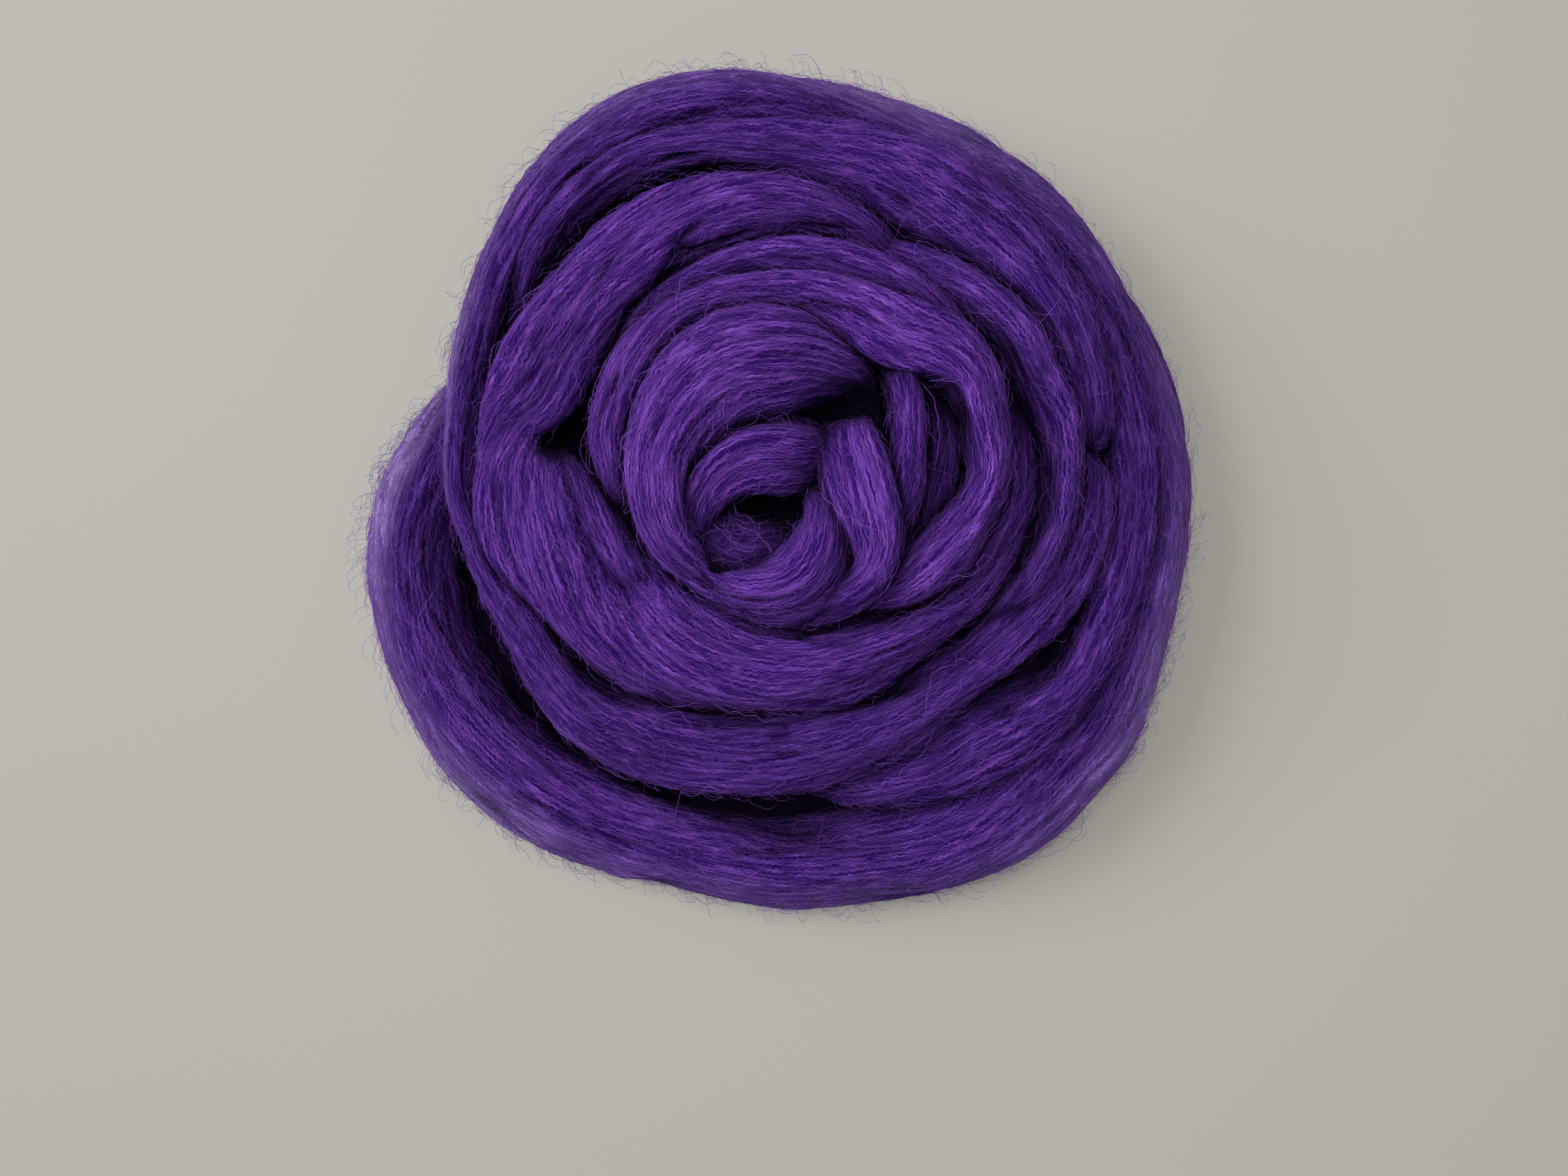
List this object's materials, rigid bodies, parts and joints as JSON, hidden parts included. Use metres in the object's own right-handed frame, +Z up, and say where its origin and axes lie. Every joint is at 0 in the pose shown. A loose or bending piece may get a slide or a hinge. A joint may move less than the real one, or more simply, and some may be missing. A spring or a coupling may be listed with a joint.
{
  "type": "wool roving",
  "caption": "Soft combed wool roving, one thick untwisted length wound loosely into a round, mounded nest that stands on a flat surface.",
  "frame": {"origin": "centre of the nest's bounding box, on the plane it stands on", "axes": "+Z up through the nest, out of its wound face; +Y from the side with the wide double turn across to the far side; +X to the right seen from above"},
  "size_m": [0.2289, 0.2327, 0.0656],
  "materials": {
    "dyed_wool": "soft matt combed wool fibre, dyed purple"
  },
  "bodies": {
    "root": {"roving_nest": "dyed_wool"}
  },
  "joints": []
}
